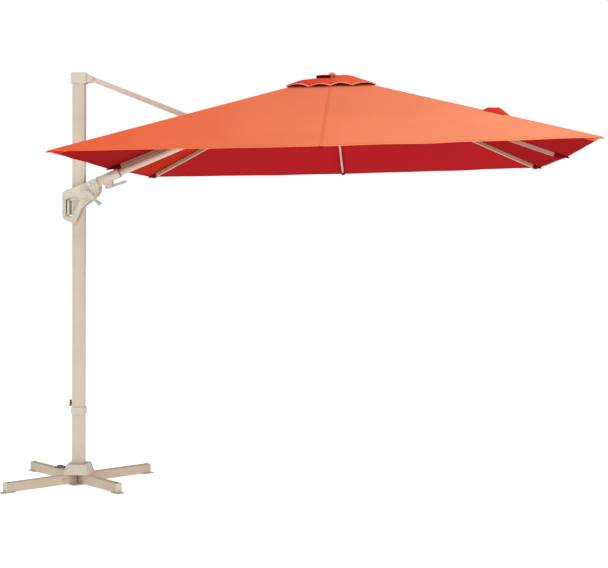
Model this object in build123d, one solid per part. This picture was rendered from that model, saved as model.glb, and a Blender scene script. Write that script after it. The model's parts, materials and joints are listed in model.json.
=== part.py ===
from build123d import *
import math
import os

# Cantilever parasol: a cross base, a mast that turns on it, a carriage that slides on the
# mast, a boom and a stay that form an isosceles linkage, and a square canopy on eight ribs.
# Millimetres, +Z up. The origin is on the floor, on the mast's axis. +X points along the
# boom, towards the canopy, and -Y is the side with the crank.

# ---- driving dimensions ---------------------------------------------------------------

# base
LEG_WIDTH, LEG_BOTTOM, LEG_TOP = 40, 5, 65
LEG_LENGTH = {"near_left": 545, "near_right": 490, "far_left": 610, "far_right": 560}
LEG_ANGLE = {"near_left": 225, "near_right": 315, "far_left": 135, "far_right": 45}
LEG_INNER_GAP, LAND_WIDTH, LAND_HEIGHT, LAND_ENDS = 2, 30, 1, (130, 50)
FOOT_WIDTH, FOOT_REACH = 56, 24
CENTRE_PLATE_SIDE = 170
HOUSING_BOTTOM, HOUSING_TOP = (170, 176), (132, 144)
HOUSING_Z = (LEG_TOP, 130)
TURNING_R, SKIRT_R = 51, 56
SPINDLE_R, SPINDLE_TOP = 20, 330

# mast
MAST_X, MAST_Y, MAST_WALL = 80, 60, 3
POST_BOTTOM, POST_TOP, MAST_TOP = 72, 480, 2640
SPIGOT_TOP = 580
COLLAR_Z = (456, 502)
CAP_Z = (2640, 2712)
STAY_LUG = [(30, 2643), (84, 2650), (98, 2659), (102, 2673), (97, 2685), (84, 2692), (42, 2708), (30, 2708)]
SCREW_Z, STOP_Z = 528, 2022

# boom and stay: |C P| = |T P|, and T is straight above C
PIVOT_X, PIVOT_T_Z, PIVOT_C_Z = 80, 2673, 1970
LINK = 955
LINK_ANGLE = math.degrees(math.asin((PIVOT_T_Z - PIVOT_C_Z) / 2 / LINK))
BOOM_ANGLE = LINK_ANGLE + 1.0
BOOM_R, BOOM_WALL = 23, 2.5
COLLAR_START, COLLAR_END = 47, 205
STAY_HEIGHT, STAY_WIDTH, STAY_WALL = 34, 20, 2
FORK_INNER, FORK_OUTER, FORK_LENGTH = 27.5, 32.5, 98

# canopy, in its own frame: origin at the middle of the eave plane, +Z along the crown
CANOPY_X, CANOPY_Z, CANOPY_TILT = 1688, 2124, 1.16
HALF, MID_OUT, MID_DROP, RISE = 1500, 1512, 12, 553
CLOTH = 1.3
VENT_HALF, CAP_HALF, CAP_FLAT = 150, 285, 90
CAP_HEM_Z, CAP_TOP_Z = 456, 556
SLOT_X, SLOT_HALF = (-850, -570), 58
RIB_WIDTH, RIB_HEIGHT, RIB_WALL = 13, 25, 1.2
RIB_ABOVE_PIN, RIB_UNDER_CLOTH = 24, 16
HINGE_R, SIDE_HINGE_R, SIDE_OFFSET = 60, 105, -64
TIP_SHORT = 68
STRUT_CORNER, STRUT_MID = 420, 483.4
STRUT_WIDTH, STRUT_HEIGHT = 12, 13
PIN_R, PIN_HALF, EYE_R = 3, 11.8, 8
HUB_R, HUB_Z = 44, (470, 512)
CENTRE_TUBE_R, CENTRE_TUBE_BOTTOM = 15, 175

# carriage
CHEEK_IN, CHEEK_OUT = 40, 52
CRANK_X, CRANK_Z = 58, 1928
LEVER_PIVOT = (186, 1952)

NEAR_SIDE = -1

# ---- small helpers --------------------------------------------------------------------

BOOM = Pos(PIVOT_X, 0, PIVOT_C_Z) * Rot(0, -BOOM_ANGLE, 0)
STAY = Pos(PIVOT_X, 0, PIVOT_T_Z) * Rot(0, LINK_ANGLE, 0)
CANOPY = Pos(CANOPY_X, 0, CANOPY_Z) * Rot(0, -CANOPY_TILT, 0)


def block(x, y, z):
    """A box from three (low, high) pairs."""
    size = [high - low for low, high in (x, y, z)]
    middle = [(high + low) / 2 for low, high in (x, y, z)]
    return Pos(*middle) * Box(*size)


def upright(radius, x, y, z):
    """A cylinder along Z; z is (low, high)."""
    return Pos(x, y, (z[0] + z[1]) / 2) * Cylinder(radius, z[1] - z[0])


def across(radius, x, z, y):
    """A cylinder along Y; y is (low, high)."""
    return Pos(x, (y[0] + y[1]) / 2, z) * Rot(90, 0, 0) * Cylinder(radius, y[1] - y[0])


def along(radius, y, z, x):
    """A cylinder along X; x is (low, high)."""
    return Pos((x[0] + x[1]) / 2, y, z) * Rot(0, 90, 0) * Cylinder(radius, x[1] - x[0])


def plate(outline, y):
    """An outline of (x, z) points, as thick as the (low, high) pair y."""
    face = make_face(Polyline(*outline, close=True))
    return Pos(0, y[1], 0) * Rot(90, 0, 0) * extrude(face, y[1] - y[0])


def box_tube(width_x, width_y, wall, z):
    """An upright rectangular tube on the mast's axis with softened corners."""
    outer = block((-width_x / 2, width_x / 2), (-width_y / 2, width_y / 2), z)
    outer = fillet(outer.edges().filter_by(Axis.Z), wall)
    inner_x, inner_y = width_x / 2 - wall, width_y / 2 - wall
    return outer - block((-inner_x, inner_x), (-inner_y, inner_y), z)


def hex_head(radius, height):
    """A bolt head standing on z = 0."""
    return extrude(RegularPolygon(radius, 6), height)


def write(name, *solids):
    """Write one sub-part; more than one solid is a group of separate pieces."""
    parts = []
    for item in solids:
        parts += list(item.solids())
    shape = parts[0] if len(parts) == 1 else Compound(children=parts)
    export_step(shape, f"parts/{name}.step")


# ---- base -----------------------------------------------------------------------------


def leg_frame(name):
    return Rot(0, 0, LEG_ANGLE[name])


def leg(name):
    """A straight bar with a pointed inner end, so that four meet in a cross, and a raised land
    along its top for a ballast slab."""
    half = LEG_WIDTH / 2
    tip = LEG_INNER_GAP * math.sqrt(2)
    reach = LEG_LENGTH[name] - 8
    outline = [(tip, 0), (tip + half, half), (reach, half), (reach, -half), (tip + half, -half)]
    bar = extrude(make_face(Polyline(*outline, close=True)), LEG_TOP - LEG_BOTTOM)
    bar = Pos(0, 0, LEG_BOTTOM) * bar
    bar = chamfer(bar.faces().sort_by(Axis.Z)[-1].edges().filter_by(Axis.X), 3)
    span = (LAND_ENDS[0], LEG_LENGTH[name] - LAND_ENDS[1])
    land = block(span, (-LAND_WIDTH / 2, LAND_WIDTH / 2), (LEG_TOP, LEG_TOP + LAND_HEIGHT))
    return leg_frame(name) * (bar + land)


def leg_end_cap(name):
    end = LEG_LENGTH[name]
    cap = block((end - 8, end), (-LEG_WIDTH / 2, LEG_WIDTH / 2), (LEG_BOTTOM, LEG_TOP))
    return leg_frame(name) * fillet(cap.faces().sort_by(Axis.X)[-1].edges(), 3)


def foot_plate(name):
    end = LEG_LENGTH[name]
    pad = block((end - 70, end + FOOT_REACH), (-FOOT_WIDTH / 2, FOOT_WIDTH / 2), (0, LEG_BOTTOM))
    return leg_frame(name) * fillet(pad.edges().filter_by(Axis.Z), 10)


def leg_screw(name):
    head = upright(7, LEG_LENGTH[name] - 30, 0, (LEG_TOP, LEG_TOP + 4))
    return leg_frame(name) * fillet(head.faces().sort_by(Axis.Z)[-1].edges(), 1.5)


def base_bolt(name):
    """A dome-headed bolt on the leg's side, close to the middle."""
    side = LEG_WIDTH / 2
    dome = Pos(128, 0, 35) * Rot(-90, 0, 0) * Cone(8, 5, 5, align=(Align.CENTER, Align.CENTER, Align.MIN))
    return leg_frame(name) * Pos(0, side, 0) * dome


def centre_plate():
    side = CENTRE_PLATE_SIDE / 2
    base = block((-side, side), (-side, side), (0, LEG_BOTTOM))
    return Rot(0, 0, 45) * fillet(base.edges().filter_by(Axis.Z), 12)


def base_housing():
    def frustum(inset, z):
        bottom = Pos(0, 0, z[0]) * Rectangle(HOUSING_BOTTOM[0] - inset, HOUSING_BOTTOM[1] - inset)
        top = Pos(0, 0, z[1]) * Rectangle(HOUSING_TOP[0] - inset, HOUSING_TOP[1] - inset)
        return loft([bottom, top])

    low, high = HOUSING_Z
    shell = frustum(0, (low, high)) - frustum(10, (low, high - 5))
    shell -= upright(TURNING_R, 0, 0, (low, high))
    shell -= block((-100, -50), (-24, 24), (low + 8, low + 56))
    return shell


def turntable_spindle():
    shaft = upright(SPINDLE_R, 0, 0, (LEG_TOP, SPINDLE_TOP))
    return shaft + upright(34, 0, 0, (LEG_TOP, LEG_TOP + 5))


def pedal_pin():
    return across(4, -58, 100, (-38, 38)) + block((-62, -54), (-38, -32), (65, 100)) \
        + block((-62, -54), (32, 38), (65, 100))


def pedal_lever():
    """A curved foot bar on two arms that pivot on the pin inside the cover."""
    nose = plate([(-50, 94), (-50, 110), (-66, 110), (-112, 107), (-112, 99), (-66, 94)], (-20, 20))
    nose -= across(4.1, -58, 100, (-30, 30))
    bar = plate([(-112, 98), (-112, 110), (-136, 113), (-152, 109), (-152, 101), (-136, 102)], (-34, 34))
    return nose + fillet(bar.edges().filter_by(Axis.Y), 2.5)


# ---- mast -----------------------------------------------------------------------------


def lower_post():
    """The turning post: a tube, a foot flange with lock notches, a skirt over the base's cover
    and a spigot for the mast."""
    tube = box_tube(MAST_X, MAST_Y, MAST_WALL, (POST_BOTTOM, POST_TOP))
    skirt_z = (HOUSING_Z[1] + 0.5, HOUSING_Z[1] + 4)
    half_x, half_y = MAST_X / 2 - 1, MAST_Y / 2 - 1
    tube += upright(SKIRT_R, 0, 0, skirt_z) - block((-half_x, half_x), (-half_y, half_y), skirt_z)
    inner_x, inner_y = MAST_X - 2 * MAST_WALL, MAST_Y - 2 * MAST_WALL
    spigot = box_tube(inner_x - 0.6, inner_y - 0.6, 2.7, (POST_TOP - 40, SPIGOT_TOP))
    seat_z = (POST_TOP - 40, POST_TOP)
    spigot += block((-inner_x / 2, inner_x / 2), (-inner_y / 2, inner_y / 2), seat_z) \
        - block((3 - inner_x / 2, inner_x / 2 - 3), (3 - inner_y / 2, inner_y / 2 - 3), seat_z)
    foot = block((-45, 45), (-40, 40), (POST_BOTTOM, POST_BOTTOM + 6))
    foot -= upright(SPINDLE_R + 0.5, 0, 0, (POST_BOTTOM, POST_BOTTOM + 6))
    for sign in (-1, 1):
        foot -= block((sign * 45 - 4, sign * 45 + 4), (-11, 11), (POST_BOTTOM, POST_BOTTOM + 6))
    return tube + spigot + foot


def post_bush(z):
    half_x, half_y = MAST_X / 2 - MAST_WALL - 0.1, MAST_Y / 2 - MAST_WALL - 0.1
    body = block((-half_x, half_x), (-half_y, half_y), z)
    return body - upright(SPINDLE_R + 0.08, 0, 0, z)


def mast_collar():
    low, high = COLLAR_Z
    outer = block((-MAST_X / 2 - 6, MAST_X / 2 + 6), (-MAST_Y / 2 - 6, MAST_Y / 2 + 6), (low, high))
    outer = fillet(outer.edges().filter_by(Axis.Z), 6)
    outer = fillet(outer.faces().sort_by(Axis.Z)[-1].edges(), 2)
    bore = block((-MAST_X / 2 - 0.2, MAST_X / 2 + 0.2), (-MAST_Y / 2 - 0.2, MAST_Y / 2 + 0.2), (low, high))
    return outer - bore


def mast_tube():
    """The mast's tube, with shallow grooves down its faces."""
    tube = box_tube(MAST_X, MAST_Y, MAST_WALL, (POST_TOP, MAST_TOP))
    for sign in (-1, 1):
        for x in (-24, 24):
            tube -= block((x - 2, x + 2), (sign * 30 - 1, sign * 30 + 1), (POST_TOP, MAST_TOP))
    return tube - along(4.3, 0, SCREW_Z, (-45, -30))


def mast_cap():
    """A cap over the mast with two lugs that carry the stay."""
    low, high = CAP_Z
    cap = block((-49, 52), (-36, 36), (low, high))
    cap = chamfer(cap.faces().sort_by(Axis.Z)[-1].edges(), 6)
    plug = block((-36.8, 36.8), (-26.8, 26.8), (low - 30, low))
    for sign in (-1, 1):
        inner, outer = sorted((sign * 13, sign * 25))
        lug = plate(STAY_LUG, (inner, outer))
        cap += fillet(lug.edges().filter_by(Axis.Y).sort_by(Axis.X)[-5:], 5)
    return cap + plug - across(6.1, PIVOT_X, PIVOT_T_Z, (-40, 40))


def stay_pin():
    pin = across(6, PIVOT_X, PIVOT_T_Z, (-29, 29))
    for low in (-29.5, 25.2):
        pin += across(9, PIVOT_X, PIVOT_T_Z, (low, low + 4.3))
    return pin


def stop_bolt():
    head = Pos(-MAST_X / 2, 0, STOP_Z) * Rot(0, -90, 0) * hex_head(7, 6)
    return head + along(4, 0, STOP_Z, (-MAST_X / 2 - 0.5, -MAST_X / 2 + 0.0))


def hand_screw():
    """A two-lobed knob on a threaded shank."""
    knob = along(9, 0, SCREW_Z, (-62, -42))
    for sign in (-1, 1):
        lobe = along(10, 0, SCREW_Z + sign * 13, (-62, -50))
        knob += fillet(lobe.edges().filter_by(GeomType.CIRCLE), 2.5)
    return knob + along(4, 0, SCREW_Z, (-42, -36.8))


# ---- stay and boom --------------------------------------------------------------------


def stay_tube():
    """A flat tube, built along +X from the pivot at the mast's top."""
    span = (30, LINK - FORK_LENGTH)
    outer = block(span, (-STAY_WIDTH / 2, STAY_WIDTH / 2), (-STAY_HEIGHT / 2, STAY_HEIGHT / 2))
    outer = fillet(outer.edges().filter_by(Axis.X), 5)
    inner = block(span, (STAY_WALL - 10, 10 - STAY_WALL), (STAY_WALL - 17, 17 - STAY_WALL))
    return STAY * (outer - inner)


def stay_head():
    eye = across(17, 0, 0, (-12.5, 12.5)) + block((0, 30), (-10, 10), (-16, 16))
    return STAY * (eye - across(6.08, 0, 0, (-20, 20)))


def stay_fork():
    """The lower fitting: a bridge and two arms that straddle the boom's ring."""
    start = LINK - FORK_LENGTH
    fork = block((start, start + 14), (-FORK_OUTER, FORK_OUTER), (-16, 16))
    fork = chamfer(fork.edges().filter_by(Axis.Z), 5)
    for sign in (-1, 1):
        inner, outer = sorted((sign * FORK_INNER, sign * FORK_OUTER))
        arm = block((start + 8, LINK), (inner, outer), (-13, 13)) + across(14, LINK, 0, (inner, outer))
        fork += arm
    return STAY * (fork - across(6.1, LINK, 0, (-40, 40)))


def link_point():
    """Where the stay's lower pivot is, in the boom's frame."""
    turn = math.radians(LINK_ANGLE - BOOM_ANGLE)
    return LINK * math.cos(turn), LINK * math.sin(turn)


def boom_ring():
    """The ring that the boom turns in, with a stub pin on each side for the stay."""
    s, w = link_point()
    ring = along(27, 0, 0, (s - 24, s + 24))
    for sign in (-1, 1):
        inner, outer = sorted((sign * 10, sign * 26.8))
        ring += across(12, s, w, (inner, outer))
        inner, outer = sorted((sign * 20, sign * 33.5))
        ring += across(6, s, w, (inner, outer))
        inner, outer = sorted((sign * 33, sign * 37))
        ring += across(9, s, w, (inner, outer))
    return BOOM * (ring - along(BOOM_R + 0.15, 0, 0, (s - 40, s + 40)))


def boom_root():
    """The tongue that pivots between the cheeks."""
    eye = across(24, 0, 0, (-37.5, 37.5))
    neck = along(24, 0, 0, (4, COLLAR_START))
    eye = eye + neck + along(BOOM_R - BOOM_WALL - 0.2, 0, 0, (COLLAR_START, COLLAR_START + 12))
    return BOOM * (eye - across(6.1, 0, 0, (-45, 45)))


def twist_collar():
    """The casting that the boom's end turns in, with a lug for the clamp lever."""
    body = along(31, 0, 0, (COLLAR_START, COLLAR_END))
    body = fillet(body.edges().filter_by(GeomType.CIRCLE), 4)
    body += plate([(78, -12), (150, -12), (140, -45), (128, -62), (100, -62), (84, -40)], (-20, 20))
    body -= along(BOOM_R + 0.15, 0, 0, (COLLAR_START + 13, COLLAR_END))
    body -= along(BOOM_R - BOOM_WALL - 0.1, 0, 0, (COLLAR_START, COLLAR_START + 14))
    body -= block((88, 170), (-10.5, 10.5), (-80, -34))
    return BOOM * (body - across(4.1, *lever_centre(), (-30, 30)))


def lever_centre():
    """The clamp lever's pivot in the boom's frame."""
    turn = math.radians(BOOM_ANGLE)
    dx, dz = LEVER_PIVOT[0] - PIVOT_X, LEVER_PIVOT[1] - PIVOT_C_Z
    return dx * math.cos(turn) + dz * math.sin(turn), dz * math.cos(turn) - dx * math.sin(turn)


def twist_lever():
    """A clamp lever that lies along the boom when it is closed."""
    x, z = LEVER_PIVOT
    outline = [(0, -9), (14, -6), (128, 32), (134, 42), (122, 47), (4, 8)]
    body = across(9, x, z, (-10, 10)) + plate([(x + dx, z + dz) for dx, dz in outline], (-10, 10))
    body += across(4, x, z, (-22, 22))
    return body


def boom_tube():
    end = boom_end() - 4
    tube = along(BOOM_R, 0, 0, (COLLAR_START + 13.2, end))
    return BOOM * (tube - along(BOOM_R - BOOM_WALL, 0, 0, (COLLAR_START, end + 5)))


def boom_end():
    """How far along its axis the boom reaches: just short of the crown's lugs."""
    return (CANOPY_X - 95 - PIVOT_X) / math.cos(math.radians(BOOM_ANGLE))


# ---- canopy ---------------------------------------------------------------------------

CORNER_SLOPE = math.degrees(math.atan(RISE / (HALF * math.sqrt(2))))
MID_SLOPE = math.degrees(math.atan((RISE + MID_DROP) / MID_OUT))
RIB_NAMES = ["right", "far_right", "far", "far_left", "left", "near_left", "near", "near_right"]


def rib_plan(index):
    """(slope, hinge radius, sideways offset, pin height, length, strut length) of one rib."""
    corner = index % 2 == 1
    slope = CORNER_SLOPE if corner else MID_SLOPE
    radius, offset = (SIDE_HINGE_R, SIDE_OFFSET) if index == 4 else (HINGE_R, 0)
    drop = (RIB_UNDER_CLOTH + RIB_ABOVE_PIN) / math.cos(math.radians(slope))
    pin_z = RISE - radius * math.tan(math.radians(slope)) - drop
    reach = HALF * math.sqrt(2) if corner else MID_OUT
    length = (reach - radius) / math.cos(math.radians(slope)) - TIP_SHORT
    return slope, radius, offset, pin_z, length, STRUT_CORNER if corner else STRUT_MID


def rib_frame(index):
    """The rib's hinge pin, with +X pointing outwards and level."""
    _, radius, offset, pin_z, _, _ = rib_plan(index)
    return CANOPY * Rot(0, 0, 45 * index) * Pos(radius, offset, pin_z)


def rib(index):
    """A box tube, its hinge knuckle with a pin, its tip plug and the clip for its strut."""
    slope, _, _, _, length, strut = rib_plan(index)
    low, high = RIB_ABOVE_PIN - RIB_HEIGHT / 2, RIB_ABOVE_PIN + RIB_HEIGHT / 2
    half = RIB_WIDTH / 2
    tube = block((14, length), (-half, half), (low, high))
    tube -= block((14, length), (RIB_WALL - half, half - RIB_WALL), (low + RIB_WALL, high - RIB_WALL))
    knuckle = block((-6, 14), (-half, half), (0, high)) + across(EYE_R, 0, 0, (-half, half))
    knuckle += across(PIN_R, 0, 0, (-PIN_HALF, PIN_HALF))
    plug = block((length, length + 5), (-half, half), (low, high))
    plug = fillet(plug.faces().sort_by(Axis.X)[-1].edges(), 2)
    clip = across(PIN_R, strut, 0, (-half - 2, half + 2))
    for sign in (-1, 1):
        inner, outer = sorted((sign * half, sign * (half + 2.5)))
        clip += block((strut - 11, strut + 11), (inner, outer), (0, high - 3))
        clip += across(EYE_R, strut, 0, (inner, outer))
    frame = rib_frame(index) * Rot(0, slope, 0)
    return [frame * piece for piece in (tube, knuckle, plug, clip)]


def strut(index):
    """A box tube with an eye at the rib's clip and an eye with a pin at the runner."""
    slope, _, _, _, _, length = rib_plan(index)
    half, rise = STRUT_WIDTH / 2, STRUT_HEIGHT / 2
    tube = block((-length + 12, -12), (-half, half), (-rise, rise))
    tube -= block((-length + 13, -13), (1 - half, half - 1), (1 - rise, rise - 1))
    upper = across(EYE_R - 1, 0, 0, (-half, half)) + block((-12, 0), (-half, half), (-rise, rise))
    upper -= across(PIN_R + 0.1, 0, 0, (-half, half))
    lower = across(EYE_R - 1, -length, 0, (-half, half)) + across(PIN_R, -length, 0, (-PIN_HALF, PIN_HALF))
    lower += block((-length, -length + 12), (-half, half), (-rise, rise))
    frame = rib_frame(index) * Rot(0, slope, 0) * Pos(length, 0, 0) * Rot(0, -2 * slope, 0)
    return frame * (tube + upper + lower)


def lug_pair(inner, outer, hole_r, slot):
    """Two ears either side of a pin on the X axis; slot lengthens their holes upright."""
    ears = None
    for sign in (-1, 1):
        low, high = sorted((sign * 7.4, sign * 11.4))
        ear = block((inner, outer), (low, high), (-9 - slot, 9 + slot))
        ears = ear if ears is None else ears + ear
    hole = across(hole_r, 0, 0, (-15, 15))
    if slot:
        hole = across(hole_r, 0, slot, (-15, 15)) + across(hole_r, 0, -slot, (-15, 15))
        hole += block((-hole_r, hole_r), (-15, 15), (-slot, slot))
    return ears - hole


def crown_hub():
    """The crown: a drum, a pair of ears for each rib, and the finial's stem."""
    body = upright(HUB_R, 0, 0, HUB_Z)
    for index in (0, 1, 2, 3, 5, 6, 7):
        _, radius, _, pin_z, _, _ = rib_plan(index)
        body += Rot(0, 0, 45 * index) * Pos(radius, 0, pin_z) * lug_pair(-26, 9, PIN_R + 0.1, 0)
    return CANOPY * (body + upright(6, 0, 0, (HUB_Z[1], CAP_TOP_Z + 4)))


def crown_bracket():
    """The casting that joins the boom's end to the crown and carries the mast-side rib."""
    end = boom_end()
    bore = BOOM * along(BOOM_R + 0.1, 0, 0, (end - 85, end - 4))
    socket = BOOM * along(29, 0, 0, (end - 80, end)) - bore
    low = HUB_Z[0] - 18
    shelf = CANOPY * block((-96, 36), (-20, 20), (low, HUB_Z[0])) - bore
    shelf -= CANOPY * upright(CENTRE_TUBE_R + 0.1, 0, 0, (low, HUB_Z[0]))
    _, radius, offset, pin_z, _, _ = rib_plan(4)
    ears = CANOPY * Rot(0, 0, 180) * Pos(radius, offset, pin_z) * (
        lug_pair(-13, 9, PIN_R + 0.1, 0) + block((-20, -10), (-7.5, 11.4), (-9, 9))
        + block((-20, 9), (11, 38), (-9, 9)) - across(PIN_R + 0.1, 0, 0, (-15, 14)))
    return socket + shelf + ears


def centre_tube():
    tube = upright(CENTRE_TUBE_R, 0, 0, (CENTRE_TUBE_BOTTOM, HUB_Z[0]))
    return CANOPY * (tube - upright(CENTRE_TUBE_R - 2, 0, 0, (CENTRE_TUBE_BOTTOM, HUB_Z[0])))


def runner():
    """The sliding hub under the crown that the struts push against."""
    heights = []
    for index in range(8):
        slope, _, _, pin_z, _, length = rib_plan(index)
        heights.append(pin_z - 2 * length * math.sin(math.radians(slope)))
    low, high = heights[4] - 14, heights[1] + 12
    body = upright(23, 0, 0, (low, high))
    for index in (0, 1, 2, 3, 5, 6, 7):
        slot = 0 if index % 2 else 5.5
        frame = Rot(0, 0, 45 * index) * Pos(HINGE_R, 0, heights[index])
        body += frame * lug_pair(-42, 9, PIN_R + 0.3, slot)
    side = Rot(0, 0, 180) * Pos(SIDE_HINGE_R, SIDE_OFFSET, heights[4])
    body += side * lug_pair(-13, 9, PIN_R + 0.3, 5.5)
    body += side * block((-20, -10), (-11.4, 72), (-14, 14))
    body += block((-92, 0), (-8, 8), (heights[4] - 14, heights[4] + 14))
    return CANOPY * (body - upright(CENTRE_TUBE_R + 0.5, 0, 0, (low - 1, high + 1)))


def pyramid(levels, bottom):
    """A closed solid from rings of eight points, from the top point [(x, y, z)] downwards."""
    faces = []
    for upper, lower in zip(levels, levels[1:]):
        for i in range(8):
            j = (i + 1) % 8
            if len(upper) == 1:
                faces.append(Face(Wire.make_polygon([upper[0], lower[i], lower[j]])))
            else:
                faces.append(Face(Wire.make_polygon([upper[i], lower[i], upper[j]])))
                faces.append(Face(Wire.make_polygon([upper[j], lower[i], lower[j]])))
    ring = levels[-1]
    for i in range(8):
        faces.append(Face(Wire.make_polygon([bottom, ring[i], ring[(i + 1) % 8]])))
    return Solid(Shell(faces))


def square_ring(mid, mid_z, half, corner_z):
    """Eight points: the middle of each side at mid, the corners at half."""
    ring = []
    for index in range(8):
        turn = math.radians(45 * index)
        radius, z = (half * math.sqrt(2), corner_z) if index % 2 else (mid, mid_z)
        ring.append((radius * math.cos(turn), radius * math.sin(turn), z))
    return ring


def canopy_cover():
    """The main cloth: a square pyramid with a vent at the top and a slot for the stay."""
    eave = square_ring(MID_OUT, -MID_DROP, HALF, 0)
    solid = pyramid([[(0, 0, RISE)], eave], (0, 0, -MID_DROP))
    cloth = solid - Pos(0, 0, -CLOTH) * solid
    cloth -= block((-VENT_HALF, VENT_HALF), (-VENT_HALF, VENT_HALF), (300, 700))
    cloth -= block(SLOT_X, (-SLOT_HALF, SLOT_HALF), (100, 500))
    return CANOPY * cloth


def vent_cap():
    """The small cloth over the vent."""
    hem = square_ring(CAP_HALF, CAP_HEM_Z, CAP_HALF, CAP_HEM_Z)
    flat = square_ring(CAP_FLAT, CAP_TOP_Z - 4, CAP_FLAT, CAP_TOP_Z - 6)
    solid = pyramid([[(0, 0, CAP_TOP_Z)], flat, hem], (0, 0, CAP_HEM_Z))
    cloth = solid - Pos(0, 0, -CLOTH) * solid
    return CANOPY * (cloth - upright(6.5, 0, 0, (400, 700)))


def finial():
    base = CAP_TOP_Z + 4
    knob = upright(24, 0, 0, (base, base + 8)) + upright(12, 0, 0, (base + 8, base + 16))
    return CANOPY * fillet(knob.edges().filter_by(GeomType.CIRCLE), 2)


# ---- carriage -------------------------------------------------------------------------

CHEEK_OUTLINE = [(-99, 1916), (-99, 1756), (-92, 1742), (-26, 1713), (-12, 1720), (42, 1836), (52, 1838),
                 (103, 1881), (126, 1900), (140, 1925), (143, 1946), (140, 1966), (131, 1987), (117, 2006),
                 (100, 2005), (49, 1980), (-30, 1951), (-78, 1932)]
GRIP_OPENING = [(-78, 1872), (-78, 1766), (-66, 1760), (-42, 1754), (-34, 1762), (14, 1868), (8, 1880),
                (-20, 1893)]
BOLT_PLACES = [(49, 1962), (108, 1982), (-49, 1912), (47, 1866)]


def cheek(side):
    """One side casting, with the hand opening."""
    inner, outer = sorted((side * CHEEK_IN, side * CHEEK_OUT))
    body = plate(CHEEK_OUTLINE, (inner, outer))
    body = fillet(body.edges().filter_by(Axis.Y), 5)
    body -= fillet(plate(GRIP_OPENING, (inner - 1, outer + 1)).edges().filter_by(Axis.Y), 4)
    body -= across(8.1, CRANK_X, CRANK_Z, (inner - 1, outer + 1))
    for x, z in BOLT_PLACES + [(PIVOT_X, PIVOT_C_Z)]:
        body -= across(6.1 if (x, z) == (PIVOT_X, PIVOT_C_Z) else 3.1, x, z, (inner - 1, outer + 1))
    return body


def liner(z, front=50):
    """A glide that holds the cheeks on the mast; front is how far it reaches forwards."""
    outer = block((-50, front), (-CHEEK_IN, CHEEK_IN), z)
    return outer - block((-MAST_X / 2 - 0.5, MAST_X / 2 + 0.5), (-MAST_Y / 2 - 0.5, MAST_Y / 2 + 0.5), z)


def handle_grip():
    """The bar that the hand closes on, between the two cheeks."""
    core = block((-99, -80), (-CHEEK_IN, CHEEK_IN), (1766, 1902))
    return fillet(core.edges().filter_by(Axis.Z), 6)


def cheek_bolt(place, radius, head):
    """A bolt right through both cheeks, with a hexagon head on each side."""
    x, z = place
    outside = CHEEK_OUT
    shank = across(radius, x, z, (-outside, outside))
    near = Pos(x, -outside, z) * Rot(90, 0, 0) * hex_head(head, 4)
    far = Pos(x, outside, z) * Rot(-90, 0, 0) * hex_head(head, 4)
    return shank + near + far


def cheek_bolts():
    """The bolts clear the mast, so those beside it are two short ones."""
    bolts = [cheek_bolt((PIVOT_X, PIVOT_C_Z), 6, 10)]
    for place in BOLT_PLACES:
        bolt = cheek_bolt(place, 3, 6)
        bolts.append(bolt - block((-200, 200), (-CHEEK_IN, CHEEK_IN), (1700, 2100)))
    return bolts


def crank_spool():
    """The winding drum on its shaft, between the cheeks."""
    drum = across(10, CRANK_X, CRANK_Z, (-34, 34))
    for low in (-38, 34):
        drum += across(14, CRANK_X, CRANK_Z, (low, low + 4))
    return drum + across(8, CRANK_X, CRANK_Z, (-60, CHEEK_OUT + 2))


def crank_frame():
    """The crank lies down and outwards from its shaft."""
    return Pos(CRANK_X, 0, CRANK_Z) * Rot(0, 43, 0)


def crank_arm():
    arm = block((0, 92), (-70, -62), (-13, 13))
    arm = fillet(arm.edges().filter_by(Axis.Y), 6)
    arm += across(17, 0, 0, (-73, -60))
    arm -= block((75, 100), (-80, -60), (-8.5, 8.5))
    return crank_frame() * (arm - Pos(86, -66, 0) * Cylinder(3.1, 40))


def crank_grip():
    """The grip folds in line with the arm; it turns out on a pin across the arm's end."""
    grip = Pos(115, -66, 0) * Rot(0, 90, 0) * Cone(9, 14, 42)
    grip = fillet(grip.edges().filter_by(GeomType.CIRCLE), 3)
    grip += block((80, 95), (-71, -61), (-8, 8)) + Pos(86, -66, 0) * Cylinder(3, 25)
    return crank_frame() * grip


def trigger():
    """The squeeze bar in the hand opening."""
    bar = block((-71, -58), (-39, 39), (1772, 1868))
    return fillet(bar.edges().filter_by(Axis.Y), 4)


# ---- write everything -----------------------------------------------------------------


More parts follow.
